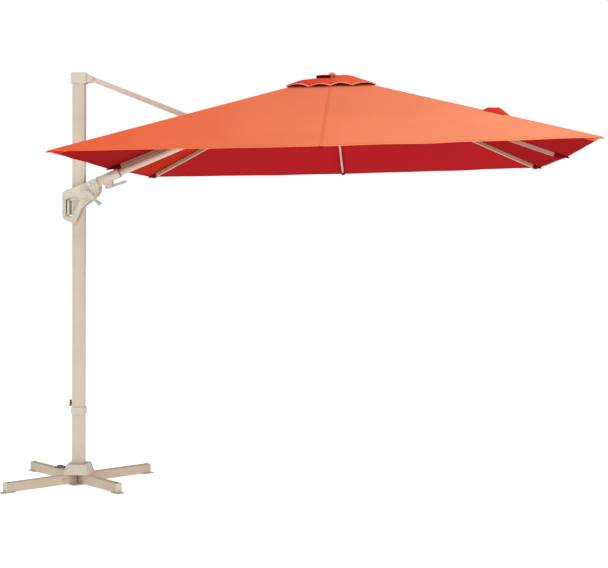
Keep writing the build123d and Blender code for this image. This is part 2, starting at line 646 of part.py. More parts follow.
def main():
    os.makedirs("parts", exist_ok=True)

    for name in LEG_LENGTH:
        write(f"leg_{name}", leg(name))
    write("leg_end_caps", *[leg_end_cap(name) for name in LEG_LENGTH])
    write("foot_plates", *[foot_plate(name) for name in LEG_LENGTH])
    write("leg_screws", *[leg_screw(name) for name in LEG_LENGTH])
    write("base_bolts", *[base_bolt(name) for name in LEG_LENGTH])
    write("centre_plate", centre_plate())
    write("base_housing", base_housing())
    write("turntable_spindle", turntable_spindle())
    write("pedal_pin", pedal_pin())
    write("pedal_lever", pedal_lever())

    write("lower_post", lower_post())
    write("post_bushes", post_bush((90, 120)), post_bush((290, 320)))
    write("mast_collar", mast_collar())
    write("mast_tube", mast_tube())
    write("mast_cap", mast_cap())
    write("stay_pin", stay_pin())
    write("stop_bolt", stop_bolt())
    write("hand_screw", hand_screw())

    write("stay_tube", stay_tube())
    write("stay_ends", stay_head(), stay_fork())
    write("boom_ring", boom_ring())
    write("boom_root", boom_root())
    write("twist_collar", twist_collar())
    write("twist_lever", twist_lever())
    write("boom_tube", boom_tube())

    write("crown_bracket", crown_bracket())
    write("crown_hub", crown_hub())
    write("centre_tube", centre_tube())
    write("runner", runner())
    for index, name in enumerate(RIB_NAMES):
        write(f"rib_{name}", *rib(index))
        write(f"strut_{name}", strut(index))
    write("canopy_cover", canopy_cover())
    write("vent_cap", vent_cap())
    write("finial", finial())

    write("cheek_near", cheek(NEAR_SIDE))
    write("cheek_far", cheek(-NEAR_SIDE))
    write("carriage_liners", liner((1865, 1905)), liner((1728, 1762), front=-10))
    write("handle_grip", handle_grip())
    write("cheek_bolts", *cheek_bolts())
    write("crank_spool", crank_spool())
    write("crank_arm", crank_arm())
    write("crank_grip", crank_grip())
    write("trigger", trigger())


main()
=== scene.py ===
"""Looks for the cantilever parasol: canopy cloth, materials, small fittings, light and camera.

Metres, +Z up. The origin is on the floor, on the mast's axis, and +X runs along the boom.
"""

import json
import math

import bpy
import bmesh
from mathutils import Matrix, Vector, noise


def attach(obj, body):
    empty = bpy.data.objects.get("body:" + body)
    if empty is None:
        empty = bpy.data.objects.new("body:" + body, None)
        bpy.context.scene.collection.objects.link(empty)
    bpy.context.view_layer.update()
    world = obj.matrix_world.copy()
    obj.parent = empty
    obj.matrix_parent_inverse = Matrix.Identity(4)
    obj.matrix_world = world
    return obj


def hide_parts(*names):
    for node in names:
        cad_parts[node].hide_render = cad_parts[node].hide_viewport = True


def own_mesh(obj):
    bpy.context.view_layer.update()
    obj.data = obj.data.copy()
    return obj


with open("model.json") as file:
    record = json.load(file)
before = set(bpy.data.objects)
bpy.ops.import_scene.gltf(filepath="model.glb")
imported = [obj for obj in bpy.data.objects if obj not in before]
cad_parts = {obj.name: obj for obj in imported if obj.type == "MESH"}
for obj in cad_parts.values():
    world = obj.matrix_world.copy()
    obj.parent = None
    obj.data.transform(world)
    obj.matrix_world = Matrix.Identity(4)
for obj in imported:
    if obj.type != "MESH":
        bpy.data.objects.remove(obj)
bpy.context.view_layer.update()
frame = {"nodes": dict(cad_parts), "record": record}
nodes = frame["nodes"]

# ---- the CAD's driving dimensions that the looks need ----------------------------------

CANOPY_ORIGIN, CANOPY_TILT = Vector((1.688, 0, 2.124)), math.radians(1.16)
HALF, MID_OUT, MID_DROP, RISE = 1.5, 1.512, 0.012, 0.553
VENT_HALF, CAP_HALF, CAP_FLAT, CAP_HEM_Z, CAP_TOP_Z = 0.15, 0.285, 0.09, 0.456, 0.556
SLOT_X, SLOT_HALF = (-0.85, -0.57), 0.058
HINGE_R, SIDE_HINGE_R, SIDE_OFFSET = 0.06, 0.105, -0.064
PIN_UNDER_CLOTH, TIP_SHORT = 0.04, 0.068
NAMES = ["right", "far_right", "far", "far_left", "left", "near_left", "near", "near_right"]
MAST_RIB = NAMES.index("left")

LINK_ANGLE = math.asin(0.703 / 2 / 0.955)
BOOM_ANGLE = LINK_ANGLE + math.radians(1)
PIVOT_X, BOOM_PIVOT_Z = 0.08, 1.97

CHEEK_OUTLINE = [(-99, 1916), (-99, 1756), (-92, 1742), (-26, 1713), (-12, 1720), (42, 1836), (52, 1838),
                 (103, 1881), (126, 1900), (140, 1925), (143, 1946), (140, 1966), (131, 1987), (117, 2006),
                 (100, 2005), (49, 1980), (-30, 1951), (-78, 1932)]
GRIP_OPENING = [(-78, 1872), (-78, 1766), (-66, 1760), (-42, 1754), (-34, 1762), (14, 1868), (8, 1880),
                (-20, 1893)]
PANEL_OUTLINE = [(22, 1874), (46, 1856), (96, 1893), (117, 1912), (126, 1944), (112, 1990), (98, 1992),
                 (30, 1962), (14, 1900)]
# x and z in millimetres, then the radius of the hole and of the washer
WASHERS = [(80, 1970, 0.0105, 0.0145), (49, 1962, 0.0062, 0.0095), (108, 1982, 0.0062, 0.0095),
           (-49, 1912, 0.0062, 0.0095), (47, 1866, 0.0062, 0.0095)]
CHEEK_FACE, CRANK = 0.052, (0.058, 1.928)
CRANK_FACE, GRIP_AXIS, CRANK_ANGLE = 0.073, 0.066, math.radians(43)

CANOPY = Matrix.Translation(CANOPY_ORIGIN) @ Matrix.Rotation(-CANOPY_TILT, 4, "Y")
BOOM = Matrix.Translation((PIVOT_X, 0, BOOM_PIVOT_Z)) @ Matrix.Rotation(-BOOM_ANGLE, 4, "Y")


# ---- materials ------------------------------------------------------------------------


def linear(red, green, blue):
    """A Blender colour from 0-255 display values."""
    def one(c):
        c /= 255
        return ((c + 0.055) / 1.055) ** 2.4 if c > 0.04045 else c / 12.92
    return (one(red), one(green), one(blue), 1)


class Surface:
    """A material and short ways to add nodes to it."""

    def __init__(self, name):
        self.material = bpy.data.materials.new(name)
        self.material.use_nodes = True
        self.tree = self.material.node_tree
        self.shader = self.tree.nodes["Principled BSDF"]
        self.place = self.node("ShaderNodeTexCoord").outputs["Object"]

    def node(self, kind, **values):
        made = self.tree.nodes.new(kind)
        for key, value in values.items():
            setattr(made, key, value)
        return made

    def link(self, start, end):
        self.tree.links.new(start, end)

    def scaled(self, scale, start=None):
        mapping = self.node("ShaderNodeMapping")
        mapping.inputs["Scale"].default_value = scale
        self.link(start or self.place, mapping.inputs["Vector"])
        return mapping.outputs["Vector"]

    def noise(self, scale, detail=3, vector=None, roughness=0.55):
        made = self.node("ShaderNodeTexNoise")
        made.inputs["Scale"].default_value = scale
        made.inputs["Detail"].default_value = detail
        made.inputs["Roughness"].default_value = roughness
        self.link(vector or self.place, made.inputs["Vector"])
        return made.outputs["Fac"]

    def between(self, factor, low, high, start=0.0, end=1.0):
        """A number from low to high as factor goes from start to end."""
        made = self.node("ShaderNodeMapRange")
        for key, value in (("From Min", start), ("From Max", end), ("To Min", low), ("To Max", high)):
            made.inputs[key].default_value = value
        self.link(factor, made.inputs["Value"])
        return made.outputs["Result"]

    def math(self, operation, a, b=None):
        made = self.node("ShaderNodeMath", operation=operation)
        for socket, value in zip(made.inputs, (a, b)):
            if value is None:
                continue
            if isinstance(value, (int, float)):
                socket.default_value = value
            else:
                self.link(value, socket)
        return made.outputs["Value"]

    def mix(self, factor, a, b):
        made = self.node("ShaderNodeMix", data_type="RGBA")
        for socket, value in ((made.inputs[0], factor), (made.inputs[6], a), (made.inputs[7], b)):
            if isinstance(value, (tuple, float, int)):
                socket.default_value = value
            else:
                self.link(value, socket)
        return made.outputs[2]

    def bump(self, height, distance, strength=1.0, below=None):
        made = self.node("ShaderNodeBump")
        made.inputs["Strength"].default_value = strength
        made.inputs["Distance"].default_value = distance
        self.link(height, made.inputs["Height"])
        if below is not None:
            self.link(below, made.inputs["Normal"])
        return made.outputs["Normal"]

    def set(self, **values):
        for key, value in values.items():
            socket = self.shader.inputs[key.replace("_", " ")]
            if hasattr(value, "is_output"):
                self.link(value, socket)
            else:
                socket.default_value = value
        return self.material


def shade(colour, factor):
    return tuple(min(1, c * factor) for c in colour[:3]) + (1,)


def painted(name, colour, roughness=0.42, peel=0.00012, wear=0.06):
    """Powder coat: an even colour with a faint orange peel, dust and rubbed patches."""
    s = Surface(name)
    dust = s.between(s.noise(3.2, 5), 0, 1, 0.35, 0.7)
    tone = s.mix(dust, shade(colour, 1 - wear), shade(colour, 1 + wear))
    speck = s.between(s.noise(900, 2), 0, 1, 0.62, 0.75)
    tone = s.mix(s.math("MULTIPLY", speck, 0.25), tone, shade(colour, 0.72))
    rough = s.between(s.noise(24, 4), roughness - 0.06, roughness + 0.09, 0.3, 0.7)
    fine = s.bump(s.noise(620, 2), peel, 0.6)
    return s.set(Base_Color=tone, Roughness=rough, Normal=s.bump(s.noise(70, 2), 0.0003, 0.25, fine))


def cast(name, colour, roughness=0.5):
    """A die casting under paint: coarser grain, faint flow marks."""
    s = Surface(name)
    flow = s.between(s.noise(11, 5, s.scaled((1, 1, 2.5))), 0, 1, 0.3, 0.72)
    tone = s.mix(flow, shade(colour, 0.93), shade(colour, 1.05))
    rough = s.between(s.noise(38, 4), roughness - 0.07, roughness + 0.1, 0.3, 0.7)
    grain = s.bump(s.noise(430, 4), 0.00022, 0.7)
    return s.set(Base_Color=tone, Roughness=rough, Normal=s.bump(s.noise(45, 3), 0.0005, 0.3, grain))


def moulded(name, colour, roughness=0.55, grain_size=650):
    """Moulded plastic with a spark-eroded grain."""
    s = Surface(name)
    cells = s.node("ShaderNodeTexVoronoi")
    cells.inputs["Scale"].default_value = grain_size
    s.link(s.place, cells.inputs["Vector"])
    cloud = s.between(s.noise(9, 4), 0, 1, 0.35, 0.68)
    tone = s.mix(cloud, shade(colour, 0.92), shade(colour, 1.06))
    rough = s.between(s.noise(60, 3), roughness - 0.08, roughness + 0.1, 0.3, 0.7)
    return s.set(Base_Color=tone, Roughness=rough, Normal=s.bump(cells.outputs["Distance"], 0.0002, 0.45))


def rubber(name, colour):
    """Dark rubber with a scuffed, dusty face."""
    s = Surface(name)
    scuff = s.between(s.noise(55, 6, s.scaled((1, 0.25, 1))), 0, 1, 0.5, 0.72)
    tone = s.mix(scuff, colour, shade(colour, 1.7))
    rough = s.between(s.noise(120, 3), 0.62, 0.86, 0.3, 0.7)
    return s.set(Base_Color=tone, Roughness=rough, Normal=s.bump(s.noise(800, 3), 0.0002, 0.6))


def bare_steel(name, colour):
    """Zinc-plated steel with turning marks and a few dull spots."""
    s = Surface(name)
    marks = s.noise(160, 3, s.scaled((1, 9, 1)))
    spots = s.between(s.noise(70, 5), 0, 1, 0.55, 0.72)
    tone = s.mix(spots, colour, shade(colour, 0.72))
    rough = s.between(marks, 0.24, 0.46, 0.3, 0.7)
    s.shader.inputs["Anisotropic"].default_value = 0.4
    return s.set(Base_Color=tone, Metallic=1.0, Roughness=rough, Normal=s.bump(marks, 0.0001, 0.5))


THREAD_PITCH, STITCH_PITCH, STITCH_HALF = 0.0011, 0.0028, 0.0009


def canvas(name, colour, painted_lit_colour=None, roughness=0.86, sheen=0.05, gloss=0.1, spread=(0.35, 3.0), glow=None):
    """Woven polyester. The mesh's cloth attribute is (across, down the slope, from the hem). The
    cloth goes from colour to painted_lit_colour over spread in X, away from the mast: a painted
    highlight and sheen, lighter where the key light falls. glow is the painted colour of an
    underside where light comes through it."""
    s = Surface(name)
    cloth = s.node("ShaderNodeAttribute", attribute_name="cloth").outputs["Vector"]
    parts = s.node("ShaderNodeSeparateXYZ")
    s.link(cloth, parts.inputs["Vector"])
    across, down, hem = parts.outputs

    def wave(direction, pitch):
        return s.math("SINE", s.math("MULTIPLY", direction, math.pi / pitch))

    def thread(direction):
        return s.math("ABSOLUTE", wave(direction, THREAD_PITCH))

    def stitches(direction):
        return s.math("GREATER_THAN", wave(direction, STITCH_PITCH), -0.35)

    def row(distance, middle):
        return s.math("LESS_THAN", s.math("ABSOLUTE", s.math("SUBTRACT", distance, middle)), STITCH_HALF)

    weft = s.noise(1, 3, s.scaled((900, 26, 0), cloth))
    warp = s.noise(1, 3, s.scaled((26, 900, 0), cloth))
    slub = s.math("ADD", weft, warp)
    weave = s.math("MULTIPLY", thread(across), thread(down))
    where = s.node("ShaderNodeSeparateXYZ")
    s.link(s.place, where.inputs["Vector"])
    x, y, _ = where.outputs
    # painted highlight: the cloth turns lighter away from the mast, where the key light falls
    tone = s.mix(s.between(x, 0, 1, *spread), colour, painted_lit_colour or shade(colour, 1.02))
    if glow:
        # painted shade: the two panels to the left and right of the crown are a little darker
        beside = s.math("ABSOLUTE", s.math("SUBTRACT", x, CANOPY_ORIGIN.x))
        panel = s.math("GREATER_THAN", beside, s.math("ABSOLUTE", y))
        tone = s.mix(s.math("MULTIPLY", panel, 0.85), tone, shade(colour, 0.72))
        # light comes through the cloth between the boom and the far-left rib
        reach = s.math("SUBTRACT", s.math("SUBTRACT", CANOPY_ORIGIN.x, x), y)
        lit = s.math("MULTIPLY", s.between(reach, 0, 1, 0, 0.25), s.between(y, 0, 1, 0.0, 0.15))
        tone = s.mix(s.math("MULTIPLY", lit, 0.7), tone, glow)
    thick = s.between(slub, 0, 0.16, 1.1, 0.75)
    cloud = s.between(s.noise(2.1, 5), 0, 0.12, 0.4, 0.72)
    tone = s.mix(s.math("ADD", thick, cloud), tone, shade(colour, 0.6))
    # a row of lockstitch on each side of a seam and one above the hem
    seam = s.math("MULTIPLY", stitches(down), row(s.math("ABSOLUTE", across), 0.007))
    sewn = s.math("MAXIMUM", seam, s.math("MULTIPLY", stitches(across), row(hem, 0.022)))
    tone = s.mix(sewn, tone, shade(colour, 0.86))
    # the folded hem and the seam allowance lie double, so less light comes through
    beside_seam = s.math("LESS_THAN", s.math("ABSOLUTE", across), 0.009)
    double = s.math("MAXIMUM", beside_seam, s.math("LESS_THAN", hem, 0.025))
    tone = s.mix(s.math("MULTIPLY", double, 0.2), tone, shade(colour, 0.85))
    threads = s.math("ADD", s.math("MULTIPLY", slub, 0.6), s.math("MULTIPLY", weave, 0.5))
    height = s.math("SUBTRACT", threads, s.math("MULTIPLY", sewn, 1.5))
    s.shader.inputs["Sheen Weight"].default_value = sheen
    s.shader.inputs["Sheen Roughness"].default_value = 0.45
    s.shader.inputs["Specular IOR Level"].default_value = gloss
    rough = s.between(slub, roughness - 0.06, roughness + 0.06, 0.7, 1.3)
    soft = s.bump(s.noise(5.5, 3), 0.006, 0.35)
    return s.set(Base_Color=tone, Roughness=rough, Normal=s.bump(height, 0.0003, 0.55, soft))


BEIGE, CASTING, GREY = linear(199, 186, 168), linear(205, 197, 179), linear(188, 185, 177)
# PAINTED_LIT_ORANGE and CAP_ORANGE are painted highlights, the colours the canopy and its cap turn to away
# from the mast
ORANGE, PAINTED_LIT_ORANGE, RED = linear(240, 96, 48), linear(251, 152, 110), linear(161, 30, 34)
CAP_RED, CAP_ORANGE, PINK = linear(212, 38, 27), linear(246, 98, 50), linear(252, 176, 158)
GLOW = linear(180, 50, 28)

MATERIALS = {
    "frame": painted("powder_coat", BEIGE),
    "casting": cast("cast_paint", CASTING),
    "steel_leg": painted("leg_paint", linear(187, 174, 154), 0.5, 0.00018, 0.08),
    "plastic_beige": moulded("beige_plastic", linear(200, 194, 178)),
    "grip": moulded("grey_grip", GREY, 0.6, 420),
    "dark_plastic": moulded("brown_plastic", linear(96, 78, 62), 0.5),
    "pedal": rubber("pedal_rubber", linear(96, 97, 84)),
    "steel": bare_steel("zinc_steel", linear(190, 186, 178)),
    "canvas": canvas("canopy_canvas", ORANGE, PAINTED_LIT_ORANGE),
    "canvas_cap": canvas("cap_canvas", CAP_RED, CAP_ORANGE, spread=(1.42, 1.85)),
}
# painted shade: the underside and the cap's inside are darker red copies of the same orange cloth
UNDERSIDE = canvas("canopy_underside", RED, None, 0.95, 0.0, 0.0, glow=GLOW)
CAP_INSIDE = canvas("cap_inside", linear(112, 20, 24), None, 0.95, 0.0, 0.0)
BINDING = canvas("pink_binding", PINK)
# painted shade and light: the maroon pocket cloth is a shaded copy, the orange one a lit copy
POCKET = canvas("pocket_cloth", linear(124, 18, 32), None, 0.95, 0.0, 0.0)
ORANGE_POCKET = canvas("orange_pocket", linear(226, 100, 58))
STRAP = canvas("strap_cloth", linear(208, 46, 34))
PALE_GRIP = moulded("pale_grip", linear(214, 208, 194), 0.6)
# painted shade: the ribs under the canopy take a darker, browner copy of the frame's powder coat
SHADED_RIB_PAINT = painted("rib_paint", linear(184, 154, 128))
PINK_PLASTIC = moulded("pink_plastic", linear(232, 146, 126))

# nodes that look different from the rest of their slot
# the ribs get the shaded copy of the frame's paint
OWN_LOOK = {f"rib_{name}": SHADED_RIB_PAINT for name in NAMES}
# the trigger and the hollow grip take a paler plastic: partly their own beige, partly painted light that
# lifts the deep shade inside the grip
OWN_LOOK |= {"trigger": PALE_GRIP, "handle_grip": PALE_GRIP, "finial": PINK_PLASTIC}

for part in frame["record"]["subparts"]:
    holder = nodes[part["node"]].data.materials
    finish = OWN_LOOK.get(part["node"], MATERIALS[part["material_slot"]])
    if len(holder):
        for place in range(len(holder)):
            holder[place] = finish
    else:
        holder.append(finish)


# ---- mesh helpers ---------------------------------------------------------------------


def build(name, points, faces, materials, indices=None, sharp=35):
    mesh = bpy.data.meshes.new(name)
    mesh.from_pydata([tuple(p) for p in points], [], faces)
    for material in materials:
        mesh.materials.append(material)
    if indices:
        mesh.polygons.foreach_set("material_index", indices)
    mesh.polygons.foreach_set("use_smooth", [True] * len(mesh.polygons))
    mesh.update()
    mesh.set_sharp_from_angle(angle=math.radians(sharp))
    obj = bpy.data.objects.new(name, mesh)
    bpy.context.scene.collection.objects.link(obj)
    return obj


def closed_sheet(name, points, faces, half, cloth, materials, upper=None, sharp=24):
    """A sheet with an upper and a lower layer and a rim. half is each point's half thickness,
    cloth its (across, down, from the hem); upper maps a face to the upper layer's material."""
    normals = [Vector() for _ in points]
    edges = {}
    for face in faces:
        corners = [points[i] for i in face]
        normal = (corners[1] - corners[0]).cross(corners[2] - corners[0]) if len(face) == 3 else \
            (corners[2] - corners[0]).cross(corners[3] - corners[1])
        for i, j in zip(face, face[1:] + face[:1]):
            normals[i] += normal
            edges[(i, j)] = edges.get((i, j), 0) + 1
    normals = [n.normalized() for n in normals]
    count = len(points)
    both = [p + n * h for p, n, h in zip(points, normals, half)]
    both += [p - n * h for p, n, h in zip(points, normals, half)]
    upper = upper or [0] * len(faces)
    made, indices = list(map(tuple, faces)), list(upper)
    made += [tuple(i + count for i in reversed(face)) for face in faces]
    indices += [1] * len(faces)
    for i, j in edges:
        if (j, i) not in edges:
            made.append((j, i, i + count, j + count))
            indices.append(0)
    obj = build(name, both, made, materials, indices, sharp)
    layer = obj.data.attributes.new("cloth", "FLOAT_VECTOR", "POINT")
    for k, value in enumerate(list(cloth) * 2):
        layer.data[k].vector = value
    return obj


def give_cloth(obj):
    """A cloth attribute for a small fabric piece, from its own rest shape."""
    layer = obj.data.attributes.new("cloth", "FLOAT_VECTOR", "POINT")
    for k, v in enumerate(obj.data.vertices):
        layer.data[k].vector = (v.co.y + 0.05, v.co.x + v.co.z, 0.1)


def grid_faces(rows, columns, closed=False):
    faces = []
    for r in range(rows - 1):
        for c in range(columns if closed else columns - 1):
            d = (c + 1) % columns
            faces.append([r * columns + c, r * columns + d, (r + 1) * columns + d, (r + 1) * columns + c])
    return faces


def facing_up(points, faces, probe=0):
    """The faces, all turned over if the probe face looks down."""
    first, second, last = (points[faces[probe][k]] for k in (0, 1, -1))
    if (second - first).cross(last - first).z < 0:
        return [list(reversed(f)) for f in faces]
    return faces


def lathe(name, profile, matrix, material, segments=48):
    """A ring or knob turned about the local X axis; profile is a closed list of (x, radius)."""
    points = []
    for x, radius in profile:
        for k in range(segments):
            turn = math.tau * k / segments
            points.append(matrix @ Vector((x, radius * math.cos(turn), radius * math.sin(turn))))
    rows = len(profile)
    faces = []
    for r in range(rows):
        for c in range(segments):
            d, q = (c + 1) % segments, (r + 1) % rows
            faces.append([r * segments + c, q * segments + c, q * segments + d, r * segments + d])
    return build(name, points, faces, [material], sharp=40)


def loft(name, rings, material, sharp=40):
    """A closed solid through rings of equal point counts."""
    columns = len(rings[0])
    points = [p for ring in rings for p in ring]
    faces = grid_faces(len(rings), columns, closed=True)
    faces.append(list(range(columns))[::-1])
    faces.append([(len(rings) - 1) * columns + c for c in range(columns)])
    obj = build(name, points, faces, [material], sharp=sharp)
    tidy_normals(obj)
    return obj


def tidy_normals(obj):
    work = bmesh.new()
    work.from_mesh(obj.data)
    bmesh.ops.recalc_face_normals(work, faces=work.faces)
    work.to_mesh(obj.data)
    work.free()


def rounded_outline(outline, radius, steps=5):
    """An (x, z) outline in metres with each corner rounded."""
    points = [Vector((x / 1000, z / 1000)) for x, z in outline]
    made = []
    for before, here, after in zip(points[-1:] + points[:-1], points, points[1:] + points[:1]):
        to_before, to_after = (before - here), (after - here)
        reach = min(radius, to_before.length * 0.45, to_after.length * 0.45)
        a, b = here + to_before.normalized() * reach, here + to_after.normalized() * reach
        for k in range(steps + 1):
            t = k / steps
            made.append((1 - t) ** 2 * a + 2 * t * (1 - t) * here + t * t * b)
    return made


def raised_band(name, outline, face_y, side, inner, outer, height, material):
    """A rounded rib of metal that follows an outline on a flat face at face_y."""
    count = len(outline)
    area = sum(a.x * b.y - b.x * a.y for a, b in zip(outline, outline[1:] + outline[:1]))
    rings = []
    for k in range(count):
        before, here, after = outline[k - 1], outline[k], outline[(k + 1) % count]
        run = (after - before).normalized()
        inward = Vector((-run.y, run.x)) * (1 if area > 0 else -1)
        ring = []
        for step in range(7):
            share = step / 6
            offset = outer + (inner - outer) * share
            rise = height * math.sin(math.pi * share) ** 0.5 if 0 < step < 6 else 0
            at = here + inward * offset
            ring.append(Vector((at.x, face_y + side * (rise if rise else -0.0006), at.y)))
        rings.append(ring)
    points = [p for ring in rings for p in ring]
    faces = []
    for k in range(count):
        nxt = (k + 1) % count
        for c in range(7):
            d = (c + 1) % 7
            faces.append([k * 7 + c, k * 7 + d, nxt * 7 + d, nxt * 7 + c])
    obj = build(name, points, faces, [material], sharp=50)
    tidy_normals(obj)
    return obj


# ---- canopy cloth ---------------------------------------------------------------------

APEX = Vector((0, 0, RISE))


def tip(index):
    turn = math.radians(45 * index)
    radius, z = (HALF * math.sqrt(2), 0) if index % 2 else (MID_OUT, -MID_DROP)
    return Vector((radius * math.cos(turn), radius * math.sin(turn), z))


def slope_of(index):
    return math.atan(RISE / (HALF * math.sqrt(2))) if index % 2 else math.atan((RISE + MID_DROP) / MID_OUT)


def rib_matrix(index):
    """The rib's hinge pin in the shared frame, with +X along the rib and +Z towards the cloth."""
    slope = slope_of(index)
    radius, offset = (SIDE_HINGE_R, SIDE_OFFSET) if index == MAST_RIB else (HINGE_R, 0)
    pin_z = RISE - radius * math.tan(slope) - PIN_UNDER_CLOTH / math.cos(slope)
    return CANOPY @ Matrix.Rotation(math.radians(45 * index), 4, "Z") @ \
        Matrix.Translation((radius, offset, pin_z)) @ Matrix.Rotation(slope, 4, "Y")


def rib_length(index):
    radius = SIDE_HINGE_R if index == MAST_RIB else HINGE_R
    reach = HALF * math.sqrt(2) if index % 2 else MID_OUT
    return (reach - radius) / math.cos(slope_of(index)) - TIP_SHORT


def cloth_point(sector, s, t):
    """The cloth between rib `sector` (s = 0) and the next rib (s = 1); t runs from apex to eave."""
    a, b = tip(sector) - APEX, tip((sector + 1) % 8) - APEX
    p = APEX + t * ((1 - s) * a + s * b)
    slack = 4 * s * (1 - s)
    ripple = noise.noise(Vector((p.x * 1.3, p.y * 1.3, 4.7)))
    fold = noise.noise(Vector((t * 1.6, s * 7.0 + sector * 5.3, 1.9)))
    free = 1 - t ** 4
    p.z -= slack * t * free * (0.014 + 0.008 * ripple) + slack ** 0.6 * t * t * 0.0035 * (fold + 0.4)
    inward = Vector((-p.x, -p.y, 0)).normalized()
    return p + inward * 0.007 * slack * t ** 8


def rib_columns(index, count):
    """(sector, s) across the cloth of one rib, with count steps on each side of it."""
    before = [((index - 1) % 8, 0.5 + 0.5 * k / count) for k in range(count)]
    return before + [(index, 0.5 * k / count) for k in range(count + 1)]


def from_rib(index, sector, s):
    """How far s is from the rib, as a share of the sector, and negative before the rib."""
    return s if sector == index else s - 1


def gore(index):
    """The cloth that goes with one rib, up to halfway to the ribs beside it."""
    name = NAMES[index]
    columns, rows = rib_columns(index, 12), 44
    slant = HALF / math.cos(slope_of(0))
    near_hem = [1 - d / slant for d in (0.029, 0.0255, 0.012, 0.0)]
    steps = [0.985 * k / rows for k in range(rows)]
    steps = [u for u in steps if u < near_hem[0] - 0.004] + near_hem
    points, cloth = [], []
    for u in steps:
        for sector, s in columns:
            a, b = tip(sector), tip((sector + 1) % 8)
            plan = (1 - s) * a + s * b
            start = VENT_HALF / max(abs(plan.x), abs(plan.y))
            t = start + (1 - start) * u
            points.append(cloth_point(sector, s, t))
            beside = t * (b - a).length * from_rib(index, sector, s)
            cloth.append((beside, t * slant, (1 - t) * slant))
    faces = grid_faces(len(steps), len(columns))
    if index == MAST_RIB:
        points, faces, cloth = cut_slot(points, faces, cloth)
    half = [0.0015 if c[2] < 0.026 else 0.00065 for c in cloth]
    placed = [CANOPY @ p for p in points]
    obj = closed_sheet(f"canopy_gore_{name}", placed, facing_up(placed, faces), half, cloth,
                       [MATERIALS["canvas"], UNDERSIDE])
    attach(obj, f"rib_{name}")
    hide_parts("canopy_cover")
    return obj


def cut_slot(points, faces, cloth):
    """Cuts the slot for the stay out of the mast-side gore."""
    work = bmesh.new()
    keep = work.verts.layers.float_vector.new("keep")
    verts = []
    for p, c in zip(points, cloth):
        v = work.verts.new(p)
        v[keep] = Vector(c)
        verts.append(v)
    for f in faces:
        work.faces.new([verts[i] for i in f])
    for axis, value in ((0, SLOT_X[0]), (0, SLOT_X[1]), (1, -SLOT_HALF), (1, SLOT_HALF)):
        spot, normal = Vector((0, 0, 0)), Vector((0, 0, 0))
        spot[axis], normal[axis] = value, 1
        near = [f for f in work.faces if SLOT_X[0] - 0.06 < f.calc_center_median().x < SLOT_X[1] + 0.06
                and abs(f.calc_center_median().y) < 0.12]
        geometry = list({e for f in near for e in f.edges} | {v for f in near for v in f.verts}) + near
        bmesh.ops.bisect_plane(work, geom=geometry, plane_co=spot, plane_no=normal, dist=1e-5)
    gone = [f for f in work.faces if SLOT_X[0] < f.calc_center_median().x < SLOT_X[1]
            and abs(f.calc_center_median().y) < SLOT_HALF]
    bmesh.ops.delete(work, geom=gone, context="FACES")
    bmesh.ops.triangulate(work, faces=[f for f in work.faces if len(f.verts) > 4])
    work.verts.index_update()
    made = ([v.co.copy() for v in work.verts], [[v.index for v in f.verts] for f in work.faces],
            [tuple(v[keep]) for v in work.verts])
    work.free()
    return made


def slot_binding():
    """A folded tape round the slot for the stay."""
    start, end, side = SLOT_X[0] * 1000, SLOT_X[1] * 1000, SLOT_HALF * 1000
    outline = rounded_outline([(start, -side), (end, -side), (end, side), (start, side)], 0.012, 4)
    dense = []
    for a, b in zip(outline, outline[1:] + outline[:1]):
        pieces = max(1, int((b - a).length / 0.03))
        dense += [a.lerp(b, k / pieces) for k in range(pieces)]
    middle = Vector(((SLOT_X[0] + SLOT_X[1]) / 2, 0))
    section = [(-0.003, 0), (0, 0.0028), (0.012, 0.0024), (0.013, 0), (0.012, -0.0024), (0, -0.0028)]
    points = []
    for q in dense:
        outward = (q - middle).normalized()
        top = RISE - abs(q.x) / MID_OUT * (RISE + MID_DROP)
        for reach, rise in section:
            at = q + outward * reach
            points.append(CANOPY @ Vector((at.x, at.y, top + rise)))
    count = len(dense)
    faces = [[k * 6 + c, k * 6 + (c + 1) % 6, (k + 1) % count * 6 + (c + 1) % 6, (k + 1) % count * 6 + c]
             for k in range(count) for c in range(6)]
    obj = build("slot_binding", points, faces, [MATERIALS["canvas"]], sharp=60)
    tidy_normals(obj)
    give_cloth(obj)
    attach(obj, "rib_left")
    return obj


def flatten(obj):
    """Gives the piece a mesh of its own."""
    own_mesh(obj)


def rib_pocket(index):
    """The pocket at the hem that holds the rib's end."""
    name = NAMES[index]
    length, place = rib_length(index), rib_matrix(index)
    # distance past the rib's tube, width and height
    stations = [(-0.036, 0.018, 0.0285), (-0.032, 0.021, 0.0300), (-0.006, 0.022, 0.0300),
                (0.008, 0.024, 0.0280), (0.026, 0.027, 0.0160), (0.048, 0.025, 0.0100),
                (0.064, 0.018, 0.0070)]
    rings = []
    top = PIN_UNDER_CLOTH - 0.0012
    for x, width, height in stations:
        ring = []
        for k in range(20):
            turn = math.tau * k / 20
            c, s = math.cos(turn), math.sin(turn)
            y = width / 2 * math.copysign(abs(c) ** 0.55, c)
            z = top - height / 2 + height / 2 * math.copysign(abs(s) ** 0.55, s)
            dent = 0.0012 * noise.noise(Vector((x * 60, k * 0.9, index * 2.3)))
            ring.append(place @ Vector((length + x, y * (1 + dent * 40), z)))
        rings.append(ring)
    # painted light and shade: the near pockets take lit orange-red copies, the far ones the shaded maroon
    # copy
    cloth = {"near_left": STRAP, "near_right": ORANGE_POCKET}.get(name, POCKET)
    obj = loft(f"rib_pocket_{name}", rings, cloth, sharp=50)
    give_cloth(obj)
    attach(obj, f"rib_{name}")
    return obj


